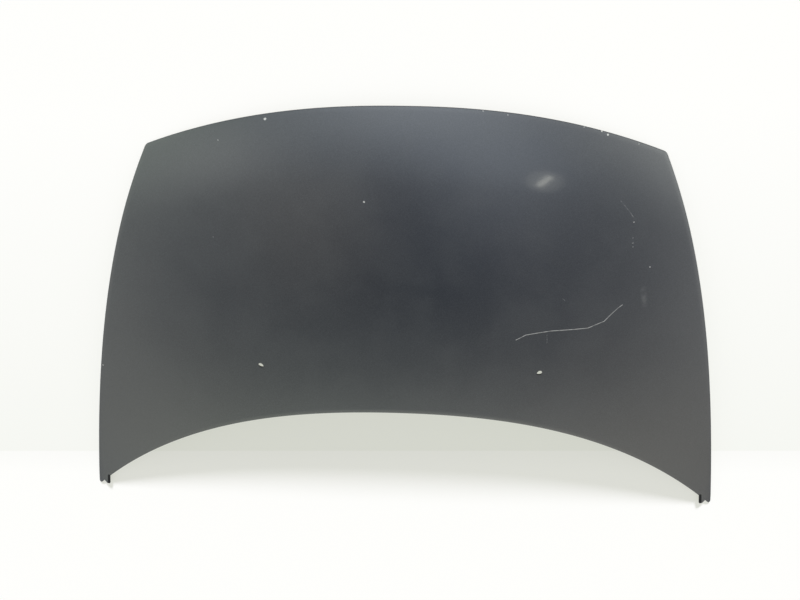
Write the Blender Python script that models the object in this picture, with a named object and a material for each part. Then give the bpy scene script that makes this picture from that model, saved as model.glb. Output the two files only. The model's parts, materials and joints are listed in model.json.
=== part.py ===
"""Car bonnet: a pressed steel outer skin hemmed round an inner frame.

Metres. +X runs across the bonnet, +Y to its front edge, +Z out of the painted side.
It lies on its four corners, as it comes to rest when it is put down.
"""
import math

import bmesh
import bpy
import numpy as np
from mathutils import Vector
from mathutils.geometry import delaunay_2d_cdt

# Outline in plan
HALF_WIDTH = 0.700            # at the rear corners, without the tongues' tips
FRONT_Y = 0.425               # front edge on the centre line
REAR_Y = -0.1788              # rear edge on the centre line
FRONT_SWEEP = 0.1776
FRONT_POWER = 2.27
REAR_SWEEP = 0.1276
REAR_CORNER_SWEEP = 0.1453
SIDE_TAPER = 0.165
SIDE_SHOULDER = 0.0812
SIDE_POWER = 3.75
FRONT_CORNER_RADIUS = 0.014

# Notched tongue at each rear corner, from a step in the rear edge.
# Its points are distances in from the side, or out when negative, and behind the step.
STEP_IN = 0.0290
SIDE_START = 0.0010
HOOK = [(0.0248, 0.0220), (0.0226, 0.0248), (0.0160, 0.0248)]
NOTCH = (0.0105, 0.0172)
TIP = [(0.0036, 0.0240), (0.0005, 0.0257), (-0.0022, 0.0244), (-0.0034, 0.0203)]

# Height of the painted surface
TOP_Z = 0.1034
CROWN = 0.085
CROWN_POWER = 2.2
BOW = 0.035
BOW_Y = -0.163
BOW_LENGTH = 0.425
NOSE_DROP = 0.010
NOSE_BAND = 0.140

# Sheet and hem
SKIN = 0.0008
FRAME = 0.0009
GAP = 0.00045                 # between the frame's rim and the skin
HEM = 0.0034
HEM_RETURN = 0.010
CORNER_RETURN = 0.007
TONGUE_RETURN = 0.0026

# Inner frame: its edge inside the hem, its cut past the tongues, its walls and ribs
RIM_EDGE = 0.0024
RIM_FLAT = 0.012
RIM_WALL = 0.026
FLOOR_DEPTH = 0.018
SHALLOW_FROM = 0.006          # the floor is shallower where the skin is this low or lower
SHALLOW_SPAN = 0.030
LEAST_SHARE = 0.2
REAR_CUT_IN = 0.050
SIDE_CUT = (0.016, 0.016)     # in from the side, ahead of the step
SIDE_CUT_END = 0.029
BOND_WALL = 0.010
BOND_FLAT = 0.020
MASTIC_DEPTH = 0.0042
RIB_HALF = 0.0200
INNER_RIB_LEAN = 0.467
OUTER_RIB_LEAN = 0.274
OUTER_RIB_IN = 0.1416         # in from the side, level with the step
REAR_CHANNEL = 0.077
FRONT_BAND = 0.077
LATCH_BAND = 0.161
LATCH_BAND_END = 0.190
SIDE_BAND = 0.060
HINGE_LAND = 0.024
OPENING_RADIUS = 0.030

# Washer jet holes, empty, above wider holes in the frame's inner ribs
JET = (0.280, -0.0836)
JET_LONG = 0.0056
JET_SHORT = 0.0042
JET_ANGLE = math.radians(42)
JET_SHIFT = (0.0020, -0.0025)
JET_CLEARANCE = 0.0100

# Fixings
BOLT_HOLE = 0.0045
BOLT_SHANK = 0.0033
BOLT_REACH = 0.0135
BOLT_HEAD = 0.0050
WASHER = 0.0015
WASHER_RADIUS = 0.0085
NUT_BORE = 0.0036
NUT_FLAT = 0.0065
NUT_HEIGHT = 0.0060
PLATE = 0.0020
FIT = 0.0003
SLACK = 0.0007

# Flat pads pressed in the frame's floor for hinges and latch, with plates inside
HINGE_WALL = 0.0014           # from the rim's wall to the pad
HINGE_AHEAD = 0.1054
HINGE_BOLT_Y = 0.024
HINGE_PAD_X = 0.022
HINGE_PAD_END = 0.016         # past the bolt
HINGE_PAD_DEPTH = 0.0170
LATCH_BACK = 0.090
LATCH_BOLT_X = 0.042
LATCH_PAD_Y = 0.026
LATCH_PAD_END = 0.020
LATCH_PAD_DEPTH = 0.0130
PAD_BLEND = 0.014
PLATE_MARGIN = 0.0020
PLATE_CORNER = 0.006

# Latch striker
STRIKER_PLATE_END = 0.014
STRIKER_PLATE_Y = 0.017
STRIKER_PLATE = 0.0025
STRIKER_CORNER = 0.010
STRIKER_ROD = 0.0040
STRIKER_HALF = 0.017
STRIKER_HEIGHT = 0.0250
STRIKER_BEND = 0.008

# Rubber buffers, drain plugs and the prop rod's socket
FRONT_BUFFER_X = 0.330
FRONT_BUFFER_BACK = 0.0478
FRONT_BUFFER_HEIGHT = 0.0110
SIDE_BUFFER_IN = 0.0430
SIDE_BUFFER_Y = -0.1200
SIDE_BUFFER_HEIGHT = 0.0080
BUFFER_HEAD = 0.0100
BUFFER_ROUND = 0.0020
BUFFER_FLANGE = 0.0110
BUFFER_FLANGE_HEIGHT = 0.0020
BUFFER_STEM = 0.0040
BUFFER_STEM_REACH = 0.0045
FRONT_PLUG_X = 0.205
FRONT_PLUG_BACK = 0.0441
REAR_PLUG_IN = 0.152
REAR_PLUG_AHEAD = 0.0647
PLUG_HEAD = 0.0100
PLUG_ROUND = 0.0006
PLUG_HEIGHT = 0.0012
PLUG_STEM = 0.0070
PLUG_STEM_REACH = 0.0030
STEM_TAPER = 0.0015
SOCKET_Y = 0.200
SOCKET_OUTER = 0.0075
SOCKET_BORE = 0.0045
SOCKET_FLANGE = 0.0125
SOCKET_ROUND = 0.0015
SOCKET_LIP = 0.0025
SOCKET_REACH = 0.0050

# Hose clips and rear seal, as sections across and below the floor
HOSE_CLIP_Y = 0.0200
CLIP_HALF = 0.005
CLIP_STEM = 0.0030
CLIP_STEM_REACH = 0.0040
CLIP_SECTION = [(0.0070, 0.0), (0.0070, -0.0018), (0.0052, -0.0018), (0.0058, -0.0050),
                (0.0052, -0.0085), (0.0020, -0.0105), (-0.0020, -0.0105), (-0.0046, -0.0092),
                (-0.0036, -0.0078), (-0.0012, -0.0088), (0.0012, -0.0088), (0.0036, -0.0074),
                (0.0042, -0.0050), (0.0034, -0.0018), (-0.0070, -0.0018), (-0.0070, 0.0)]
SEAL_IN = 0.048
SEAL_END_IN = 0.200
SEAL_SECTION = [(0.0060, 0.0), (0.0060, -0.0015), (0.0035, -0.0022), (0.0045, -0.0050),
                (0.0030, -0.0080), (0.0, -0.0090), (-0.0030, -0.0080), (-0.0045, -0.0050),
                (-0.0035, -0.0022), (-0.0060, -0.0015), (-0.0060, 0.0)]

# Mastic pads on the bond flanges
MASTIC_HALF = 0.016
MASTIC_WIDTH = 0.008
MASTIC_CORNER = 0.0035

# How finely the surfaces are divided
SKIN_RING = FRONT_CORNER_RADIUS - 0.0015
SKIN_STEP = 0.038
FRAME_STEP = 0.032
EDGE_CLEAR = 0.010
SHEET_STATION = 0.036
SHEET_TURN = 0.24
SLIGHT_BEND = 0.3             # radians
FILLET_SHARE = 0.49           # of the shorter wall beside a corner, at most
SLIVER = 1e-8                 # smaller triangles lie outside a nearly straight edge
REAR_STATIONS = 38
SIDE_STATIONS = 16
FRONT_STATIONS = 26
SEAL_STATIONS = 26
ROUNDING_STATIONS = 20
CORNER_STATIONS = 12
FINE = 0.003                  # stations before they are thinned
PAD_STATION = 0.04
HOLE_SIDES = 14
BOLT_HOLE_SIDES = 16
JET_SIDES = 12
ROD_SIDES = 12
ROUND_SIDES = 20
NUT_SIDES = 24
SHARP = math.radians(30)

PAINT = ("paint", (0.020, 0.021, 0.023), 0.7, 0.28)
PAINT_IN = ("paint_inner", (0.022, 0.023, 0.025), 0.5, 0.45)
ZINC = ("zinc", (0.42, 0.42, 0.40), 1.0, 0.40)
RUBBER = ("rubber", (0.012, 0.012, 0.012), 0.0, 0.75)
PLASTIC = ("plastic", (0.020, 0.020, 0.021), 0.0, 0.50)
MASTIC = ("mastic", (0.10, 0.10, 0.095), 0.0, 0.85)


# Shape of the bonnet

def front_y(x):
    share = abs(x) / HALF_WIDTH
    return FRONT_Y - FRONT_SWEEP * share ** FRONT_POWER


def rear_y(x):
    share = abs(x) / HALF_WIDTH
    return REAR_Y - REAR_SWEEP * share ** 2 - REAR_CORNER_SWEEP * share ** 3


STEP_Y = rear_y(HALF_WIDTH - STEP_IN)
SIDE_START_Y = STEP_Y - SIDE_START


def side_x(y):
    share = max(0.0, (y - SIDE_START_Y) / (FRONT_Y - SIDE_START_Y))
    return HALF_WIDTH - SIDE_TAPER * share - SIDE_SHOULDER * share ** SIDE_POWER


def skin_z(x, y):
    nose = max(0.0, 1 - (front_y(x) - y) / NOSE_BAND)
    across = CROWN * (abs(x) / HALF_WIDTH) ** CROWN_POWER
    along = BOW * ((y - BOW_Y) / BOW_LENGTH) ** 2
    return TOP_Z - across - along - NOSE_DROP * nose ** 2


def meet(across, along):
    """Point where x = across(y) meets y = along(x)."""
    x, y = 0.0, 0.0
    for _ in range(60):
        x = across(y)
        y = along(x)
    return x, y


def inner_rib(y):
    """Centre line of the rib that passes below the washer jet."""
    return JET[0] - INNER_RIB_LEAN * (y - JET[1])


def outer_rib(y):
    return HALF_WIDTH - OUTER_RIB_IN - OUTER_RIB_LEAN * (y - STEP_Y)


LATCH_PAD = (0.0, FRONT_Y - LATCH_BACK)
LATCH_PAD_HALF = (LATCH_BOLT_X + LATCH_PAD_END, LATCH_PAD_Y)
HINGE_PAD_HALF = (HINGE_PAD_X, HINGE_BOLT_Y + HINGE_PAD_END)
HINGE_PLACE = meet(lambda y: side_x(y + HINGE_PAD_HALF[1]) - RIM_WALL - HINGE_WALL - HINGE_PAD_X,
                   lambda x: rear_y(x) + HINGE_AHEAD)


def hinge_pad(side):
    return side * HINGE_PLACE[0], HINGE_PLACE[1]


def pad_plane(pad, depth, x, y):
    """Height at (x, y) of the plane under a pad, level with the skin at the pad's middle."""
    cx, cy = pad
    step = 0.001
    slope_x = (skin_z(cx + step, cy) - skin_z(cx - step, cy)) / (2 * step)
    slope_y = (skin_z(cx, cy + step) - skin_z(cx, cy - step)) / (2 * step)
    return skin_z(cx, cy) - SKIN - depth + slope_x * (x - cx) + slope_y * (y - cy)


def pad_share(pad, half, x, y):
    """1 on a pad, 0 away from it."""
    out = max(abs(x - pad[0]) - half[0], abs(y - pad[1]) - half[1], 0.0)
    return max(0.0, 1 - out / PAD_BLEND)


def floor_top(x, y):
    """Upper surface of the frame's floor."""
    skin = skin_z(x, y)
    share = min(1.0, max(LEAST_SHARE, (skin - SHALLOW_FROM) / SHALLOW_SPAN))
    height = skin - SKIN - FLOOR_DEPTH * share
    for pad, half, depth in ((hinge_pad(math.copysign(1, x)), HINGE_PAD_HALF, HINGE_PAD_DEPTH),
                             (LATCH_PAD, LATCH_PAD_HALF, LATCH_PAD_DEPTH)):
        height += pad_share(pad, half, x, y) * (pad_plane(pad, depth, x, y) - height)
    return height


# Loops in plan

def spread(start, end, count):
    return [start + (end - start) * i / count for i in range(count + 1)]


def mirrored(points):
    return [(-x, y) for x, y in reversed(points)]


def fillet(before, corner, after, radius, count):
    """Arc that rounds one corner of a loop."""
    a, b, c = np.array(before), np.array(corner), np.array(after)
    u = (a - b) / np.linalg.norm(a - b)
    v = (c - b) / np.linalg.norm(c - b)
    half = math.acos(float(np.clip(u @ v, -1, 1))) / 2
    centre = b + (u + v) / np.linalg.norm(u + v) * radius / math.sin(half)
    start = b + u * radius / math.tan(half) - centre
    end = b + v * radius / math.tan(half) - centre
    angle = math.acos(float(np.clip(start @ end / radius ** 2, -1, 1)))
    arc = []
    for t in spread(0, angle, count):
        at = centre + (start * math.sin(angle - t) + end * math.sin(t)) / math.sin(angle)
        arc.append((float(at[0]), float(at[1])))
    return arc


def rounded(points, radius, count=5):
    """The loop with each real corner rounded, and slight bends left as they are."""
    loop = []
    for before, corner, after in zip(points[-1:] + points, points, points[1:] + points[:1]):
        a, b, c = np.array(before), np.array(corner), np.array(after)
        turn = math.acos(float(np.clip((b - a) @ (c - b) / np.linalg.norm(b - a)
                                       / np.linalg.norm(c - b), -1, 1)))
        if turn > SLIGHT_BEND:
            wall = min(np.linalg.norm(b - a), np.linalg.norm(c - b))
            most = FILLET_SHARE * wall / math.tan(turn / 2)
            loop += fillet(before, corner, after, min(radius, most), count)
        else:
            loop.append(corner)
    return loop


def front_line(corner):
    return [(x, front_y(x)) for x in spread(corner[0], -corner[0], FRONT_STATIONS)[1:-1]]


def outline():
    """Outer edge, anticlockwise from the left rear step, with each station's hem return."""
    corner = meet(side_x, front_y)
    step = HALF_WIDTH - STEP_IN
    rear = [(x, rear_y(x)) for x in spread(-step, step, REAR_STATIONS)[1:-1]]
    side = [(side_x(y), y) for y in spread(SIDE_START_Y, corner[1], SIDE_STATIONS)[:-1]]
    front = front_line(corner)
    arc = fillet(side[-1], corner, front[0], FRONT_CORNER_RADIUS, 4)
    tongue = [(STEP_IN, 0.0)] + HOOK + [NOTCH] + TIP
    right = ([((HALF_WIDTH - x, STEP_Y - y), TONGUE_RETURN) for x, y in tongue]
             + [(side[0], CORNER_RETURN)] + [(p, HEM_RETURN) for p in side[1:]]
             + [(p, CORNER_RETURN) for p in arc])
    left = [((-p[0], p[1]), back) for p, back in reversed(right)]
    stations = ([(p, HEM_RETURN) for p in rear] + right
                + [(p, HEM_RETURN) for p in front] + left)
    return [p for p, _ in stations], [back for _, back in stations]


def frame_outline():
    """Edge line that the frame follows, which passes the tongues by."""
    corner = meet(side_x, front_y)
    last = HALF_WIDTH - REAR_CUT_IN
    right = [(last, rear_y(last)), (HALF_WIDTH - SIDE_CUT[0], STEP_Y + SIDE_CUT[1])]
    right += [(side_x(y), y)
              for y in spread(STEP_Y + SIDE_CUT_END, corner[1], SIDE_STATIONS)[:-1]]
    front = front_line(corner)
    right += fillet(right[-1], corner, front[0], FRONT_CORNER_RADIUS, CORNER_STATIONS)
    rear = [(x, rear_y(x)) for x in spread(-last, last, REAR_STATIONS)[1:-1]]
    return rear + right + front + mirrored(right)


def inward(loop):
    """At each station, the move that shifts both its edges inwards by one metre."""
    p = np.array(loop)
    edge = np.roll(p, -1, 0) - p
    normal = np.stack([-edge[:, 1], edge[:, 0]], 1) / np.linalg.norm(edge, axis=1)[:, None]
    before = np.roll(normal, 1, 0)
    return (normal + before) / (1 + (normal * before).sum(1))[:, None]


def distance(points, loop):
    p, a = np.array(points)[:, None, :], np.array(loop)
    d = np.roll(a, -1, 0) - a
    t = np.clip(((p - a) * d).sum(2) / (d * d).sum(1), 0, 1)[..., None]
    return np.sqrt(((p - a - t * d) ** 2).sum(2)).min(1)


def inside(points, loop):
    p, a = np.array(points)[:, None, :], np.array(loop)
    b = np.roll(a, -1, 0)
    rise = np.where(b[:, 1] == a[:, 1], 1.0, b[:, 1] - a[:, 1])
    crossed = (a[:, 1] > p[..., 1]) != (b[:, 1] > p[..., 1])
    at = (b[:, 0] - a[:, 0]) * (p[..., 1] - a[:, 1]) / rise + a[:, 0]
    return (crossed & (p[..., 0] < at)).sum(1) % 2 == 1


def dense(loop, step):
    points = []
    for a, b in zip(loop, loop[1:] + loop[:1]):
        count = max(1, round(math.dist(a, b) / step))
        points += [(a[0] + (b[0] - a[0]) * i / count, a[1] + (b[1] - a[1]) * i / count)
                   for i in range(count)]
    return points


def thin(loop, longest, turn):
    """Fewer stations: one per longest stretch or per turn."""
    kept, bend = [loop[0]], 0.0
    for a, b, c in zip(loop, loop[1:], loop[2:]):
        heading = math.atan2(c[1] - b[1], c[0] - b[0]) - math.atan2(b[1] - a[1], b[0] - a[0])
        bend += abs((heading + math.pi) % (2 * math.pi) - math.pi)
        if math.dist(kept[-1], b) > longest or bend > turn:
            kept.append(b)
            bend = 0.0
    return kept


def inset(loop, depth, longest=SHEET_STATION, turn=SHEET_TURN):
    """The loop moved inwards, without the stretches that would cross."""
    fine = dense(loop, FINE)
    moved = np.array(fine) + inward(fine) * depth
    kept = moved[distance(moved, loop) > depth - 0.00001]
    return thin([(float(x), float(y)) for x, y in kept], longest, turn)


def oval(centre, long_radius, short_radius, angle, count):
    loop = []
    for i in range(count):
        t = 2 * math.pi * i / count
        u, v = long_radius * math.cos(t), short_radius * math.sin(t)
        loop.append((centre[0] + u * math.cos(angle) - v * math.sin(angle),
                     centre[1] + u * math.sin(angle) + v * math.cos(angle)))
    return loop


def circle(radius, count=ROUND_SIDES):
    return oval((0.0, 0.0), radius, radius, 0.0, count)


def corners(half):
    hx, hy = half
    return [(-hx, -hy), (hx, -hy), (hx, hy), (-hx, hy)]


def box_loop(centre, half):
    return dense([(centre[0] + x, centre[1] + y) for x, y in corners(half)], PAD_STATION)


def plan_area(tri):
    (ax, ay), (bx, by), (cx, cy) = tri
    return abs((bx - ax) * (cy - ay) - (cx - ax) * (by - ay)) / 2


def fill(outer, holes, lines, step, clear):
    """Triangles inside outer and outside holes, with lines kept as edges."""
    points, edges = [], []
    for loop in [outer] + holes + lines:
        start = len(points)
        points += loop
        edges += [(start + i, start + (i + 1) % len(loop)) for i in range(len(loop))]
    grid = [(step * (i + 0.5 * (j % 2)), step * 0.87 * j)
            for i in range(-40, 41) for j in range(-40, 41)]
    room = inside(grid, outer)
    for loop in [outer] + holes + lines:
        room &= distance(grid, loop) > clear
    points += [p for p, free in zip(grid, room) if free]
    _, _, faces, sources, _, _ = delaunay_2d_cdt([Vector(p) for p in points], edges, [], 0, 1e-7)
    tris = [tuple(points[sources[i][0]] for i in face) for face in faces]
    middles = [tuple(sum(p[k] for p in tri) / 3 for k in (0, 1)) for tri in tris]
    keep = inside(middles, outer) & np.array([plan_area(tri) > SLIVER for tri in tris])
    for hole in holes:
        keep &= ~inside(middles, hole)
    return [tri for tri, kept in zip(tris, keep) if kept]


# Meshes

def material(spec):
    name, colour, metallic, rough = spec
    if name in bpy.data.materials:
        return bpy.data.materials[name]
    made = bpy.data.materials.new(name)
    made.use_nodes = True
    shader = made.node_tree.nodes["Principled BSDF"]
    shader.inputs["Base Color"].default_value = (*colour, 1)
    shader.inputs["Metallic"].default_value = metallic
    shader.inputs["Roughness"].default_value = rough
    return made


def solid(name, faces, spec):
    """One closed mesh from faces given by their corners."""
    mesh = bmesh.new()
    known = {}
    for face in faces:
        used = []
        for point in face:
            key = tuple(round(v, 7) for v in point)
            if key not in known:
                known[key] = mesh.verts.new(point)
            if known[key] not in used:
                used.append(known[key])
        if len(used) > 2:
            mesh.faces.new(used)
    bmesh.ops.recalc_face_normals(mesh, faces=mesh.faces)
    bmesh.ops.triangulate(mesh, faces=mesh.faces)
    data = bpy.data.meshes.new(name)
    mesh.to_mesh(data)
    mesh.free()
    data.materials.append(material(spec))
    data.shade_smooth()
    data.set_sharp_from_angle(angle=SHARP)
    made = bpy.data.objects.new(name, data)
    bpy.context.collection.objects.link(made)
    return made


def strip(a, b):
    """Faces between two closed rings of the same count."""
    n = len(a)
    return [(a[i], a[(i + 1) % n], b[(i + 1) % n], b[i]) for i in range(n)]


def stack(rings):
    """A closed body through rings, with its first and last ring filled."""
    faces = [tuple(rings[0]), tuple(rings[-1])]
    for a, b in zip(rings, rings[1:]):
        faces += strip(a, b)
    return faces


def tube_faces(outer, inner):
    """A closed ring-shaped body between two lists of rings of the same count."""
    faces = []
    for rings in (outer, inner):
        for a, b in zip(rings, rings[1:]):
            faces += strip(a, b)
    return faces + strip(outer[0], inner[0]) + strip(outer[-1], inner[-1])


def sheet(tris, loops, top, thickness):
    """A sheet over triangles in plan, with walls at its edge loops."""
    def high(p):
        return (p[0], p[1], top(p))

    def low(p):
        return (p[0], p[1], top(p) - thickness)

    faces = [tuple(high(p) for p in tri) for tri in tris]
    faces += [tuple(low(p) for p in tri) for tri in tris]
    for loop in loops:
        faces += strip([high(p) for p in loop], [low(p) for p in loop])
    return faces


# Skin and frame

def hem_profile(back):
    """Inward distance and drop along the hem, from the painted face round to the inner one."""
    r = HEM / 2
    inner = r - SKIN
    turn = spread(0, math.pi, 4)
    bend = [(r - r * math.sin(a), r * math.cos(a) - r) for a in turn]
    under = [(back, -HEM), (back, SKIN - HEM)]
    return bend + under + [(r - inner * math.sin(a), -r - inner * math.cos(a)) for a in turn]


def build_skin():
    edge, returns = outline()
    moves = inward(edge)
    profiles = [hem_profile(back) for back in returns]
    rings = []
    for k in range(len(profiles[0])):
        ring = []
        for point, move, profile in zip(edge, moves, profiles):
            depth, drop = profile[k]
            x, y = point[0] + move[0] * depth, point[1] + move[1] * depth
            ring.append((float(x), float(y), float(skin_z(x, y) + drop)))
        rings.append(ring)
    faces = []
    for a, b in zip(rings, rings[1:]):
        faces += strip(a, b)
    start = [(p[0], p[1]) for p in rings[0]]
    jets = [oval((side * JET[0], JET[1]), JET_LONG, JET_SHORT, side * JET_ANGLE, JET_SIDES)
            for side in (1, -1)]
    ring = inset(frame_outline(), SKIN_RING)
    tris = fill(start, jets, [ring], SKIN_STEP, EDGE_CLEAR)
    faces += sheet(tris, jets, lambda p: skin_z(*p), SKIN)
    return solid("outer_skin", faces, PAINT)


def openings():
    """Openings in the frame, at the level of its floor: centre, then each pair right and left."""
    def beside(rib, reach):
        return lambda y: rib(y) + reach

    def behind(band):
        return lambda x: front_y(x) - band

    def channel(x):
        return rear_y(x) + REAR_CHANNEL

    rear = meet(beside(inner_rib, -RIB_HALF), channel)[0]
    front = meet(beside(inner_rib, -RIB_HALF), behind(LATCH_BAND))
    centre = [(x, channel(x)) for x in spread(-rear, rear, 4)] + [front, (-front[0], front[1])]
    middle = [meet(beside(inner_rib, RIB_HALF), channel),
              meet(beside(outer_rib, -RIB_HALF), channel),
              meet(beside(outer_rib, -RIB_HALF), behind(FRONT_BAND)),
              (LATCH_BAND_END, behind(FRONT_BAND)(LATCH_BAND_END)),
              meet(beside(inner_rib, RIB_HALF), behind(LATCH_BAND))]
    start = HINGE_PLACE[1] + HINGE_PAD_HALF[1] + PAD_BLEND + HINGE_LAND
    end = meet(beside(side_x, -SIDE_BAND), behind(FRONT_BAND))[1]
    outer = [(outer_rib(start) + RIB_HALF, start)]
    outer += [(side_x(y) - SIDE_BAND, y) for y in spread(start, end, 2)]
    outer.append(meet(beside(outer_rib, RIB_HALF), behind(FRONT_BAND)))
    loops = [rounded(centre, OPENING_RADIUS, ROUNDING_STATIONS)]
    for shape in (middle, outer):
        right = rounded(shape, OPENING_RADIUS, ROUNDING_STATIONS)
        loops += [right, mirrored(right)]
    return loops


def buffer_places():
    return {"front": (FRONT_BUFFER_X, front_y(FRONT_BUFFER_X) - FRONT_BUFFER_BACK),
            "side": (side_x(SIDE_BUFFER_Y) - SIDE_BUFFER_IN, SIDE_BUFFER_Y)}


def plug_places():
    rear = HALF_WIDTH - REAR_PLUG_IN
    return {"front": (FRONT_PLUG_X, front_y(FRONT_PLUG_X) - FRONT_PLUG_BACK),
            "rear": (rear, rear_y(rear) + REAR_PLUG_AHEAD)}


def floor_holes():
    """Round holes through the frame's floor: centre and radius."""
    right = [(LATCH_BOLT_X, LATCH_PAD[1], BOLT_HOLE),
             (HINGE_PLACE[0], HINGE_PLACE[1] + HINGE_BOLT_Y, BOLT_HOLE),
             (HINGE_PLACE[0], HINGE_PLACE[1] - HINGE_BOLT_Y, BOLT_HOLE),
             (JET[0] + JET_SHIFT[0], JET[1] + JET_SHIFT[1], JET_CLEARANCE),
             (inner_rib(HOSE_CLIP_Y), HOSE_CLIP_Y, CLIP_STEM + SLACK)]
    right += [(*place, BUFFER_STEM + SLACK) for place in buffer_places().values()]
    right += [(*place, PLUG_STEM + SLACK) for place in plug_places().values()]
    both = [(side * x, y, r) for x, y, r in right for side in (1, -1)]
    return both + [(-outer_rib(SOCKET_Y), SOCKET_Y, SOCKET_OUTER + SLACK)]


def build_frame():
    edge = frame_outline()
    rim = [inset(edge, RIM_EDGE), inset(edge, RIM_FLAT), inset(edge, RIM_WALL)]
    feet = [inset(loop, 0.0) for loop in openings()]
    bonds = [inset(loop, BOND_WALL) for loop in openings()]
    ends = [inset(loop, BOND_FLAT) for loop in openings()]
    holes = [oval((x, y), r, r, 0, HOLE_SIDES) for x, y, r in floor_holes()]
    pads = [box_loop(hinge_pad(side), HINGE_PAD_HALF) for side in (1, -1)]
    pads.append(box_loop(LATCH_PAD, LATCH_PAD_HALF))
    raised = {p: skin_z(*p) - SKIN - GAP for loop in rim[:2] for p in loop}
    raised.update({p: skin_z(*p) - SKIN - MASTIC_DEPTH for loop in bonds + ends for p in loop})
    tris = fill(rim[0], ends + holes, rim[1:] + feet + bonds + pads, FRAME_STEP, EDGE_CLEAR)
    faces = sheet(tris, [rim[0]] + ends + holes,
                  lambda p: raised[p] if p in raised else floor_top(*p), FRAME)
    return solid("inner_frame", faces, PAINT_IN)


# Pieces placed on the frame's floor

class Seat:
    """Local axes on a plane of the frame's floor: u across, v along, n towards the skin."""

    def __init__(self, x, y, height):
        step = 0.002
        self.n = np.array([(height(x - step, y) - height(x + step, y)) / (2 * step),
                           (height(x, y - step) - height(x, y + step)) / (2 * step), 1.0])
        self.n /= np.linalg.norm(self.n)
        self.u = np.cross([0.0, 1.0, 0.0], self.n)
        self.u /= np.linalg.norm(self.u)
        self.v = np.cross(self.n, self.u)
        self.at = np.array([x, y, height(x, y)])

    def point(self, u, v, n):
        return tuple(float(c) for c in self.at + self.u * u + self.v * v + self.n * n)

    def ring(self, loop, n, u=0.0, v=0.0):
        return [self.point(p[0] + u, p[1] + v, n) for p in loop]

    def lathe(self, steps, count=ROUND_SIDES, u=0.0, v=0.0):
        """Rings of a round body from its (radius, height) steps."""
        return [self.ring(circle(r, count), n, u, v) for r, n in steps]


def hexagon(flat, count=NUT_SIDES):
    """Points round a hexagon of half width flat, as many as a circle has."""
    loop = []
    for i in range(count):
        t = 2 * math.pi * i / count
        reach = flat / math.cos((t + math.pi / 6) % (math.pi / 3) - math.pi / 6)
        loop.append((reach * math.cos(t), reach * math.sin(t)))
    return loop


def floor_seat(x, y):
    return Seat(x, y, floor_top)


def stem(radius, base, reach):
    """Steps of a stem that tapers at its end."""
    return [(radius, base), (radius, reach - STEM_TAPER), (radius - STEM_TAPER, reach)]


def nut(name, seat, centre, base):
    outer = [seat.ring(hexagon(NUT_FLAT), n, *centre) for n in (base, base + NUT_HEIGHT)]
    bore = [seat.ring(circle(NUT_BORE, NUT_SIDES), n, *centre) for n in (base, base + NUT_HEIGHT)]
    return solid(name, tube_faces(outer, bore), ZINC)


def plate(name, seat, half, corner, levels, bolts):
    """A flat plate with rounded corners and bolt holes, level with the seat."""
    outer = rounded(corners(half), corner)
    cut = [oval(centre, BOLT_HOLE, BOLT_HOLE, 0, BOLT_HOLE_SIDES) for centre in bolts]
    tris = fill(outer, cut, [], 10.0, 0.0)
    faces = [tuple(seat.point(*p, level) for p in tri) for level in levels for tri in tris]
    for loop in [outer] + cut:
        faces += strip(seat.ring(loop, levels[0]), seat.ring(loop, levels[1]))
    return solid(name, faces, ZINC)


def build_hinge_side(side, word):
    pad = hinge_pad(side)
    seat = Seat(*pad, lambda x, y: pad_plane(pad, HINGE_PAD_DEPTH, x, y))
    bolts = [(0.0, -HINGE_BOLT_Y), (0.0, HINGE_BOLT_Y)]
    half = (HINGE_PAD_HALF[0] - PLATE_MARGIN, HINGE_PAD_HALF[1] - PLATE_MARGIN)
    plate(f"hinge_reinforcement_{word}", seat, half, PLATE_CORNER, (FIT, FIT + PLATE), bolts)
    for centre, place in zip(bolts, ("rear", "front")):
        nut(f"hinge_nut_{word}_{place}", seat, centre, 2 * FIT + PLATE)


def bolt(name, seat, centre, top):
    """A bolt with a washer face, its head below top."""
    head = [seat.ring(hexagon(NUT_FLAT), n, *centre)
            for n in (top - WASHER - BOLT_HEAD, top - WASHER)]
    shank = seat.lathe([(WASHER_RADIUS, top - WASHER), (WASHER_RADIUS, top), (BOLT_SHANK, top),
                        (BOLT_SHANK, top + BOLT_REACH)], NUT_SIDES, *centre)
    return solid(name, stack(head + shank), ZINC)


def rod(name, path, radius, spec):
    """A bent rod along points that lie in one plane."""
    p = np.array(path)
    along = np.gradient(p, axis=0)
    along /= np.linalg.norm(along, axis=1)[:, None]
    across = np.cross(p[0] - p[-1], p[len(p) // 2] - p[-1])
    across /= np.linalg.norm(across)
    rings = []
    for at, ahead in zip(p, along):
        side = np.cross(ahead, across)
        rings.append([tuple(float(c) for c in at + side * a + across * b)
                      for a, b in circle(radius, ROD_SIDES)])
    return solid(name, stack(rings), spec)


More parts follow.
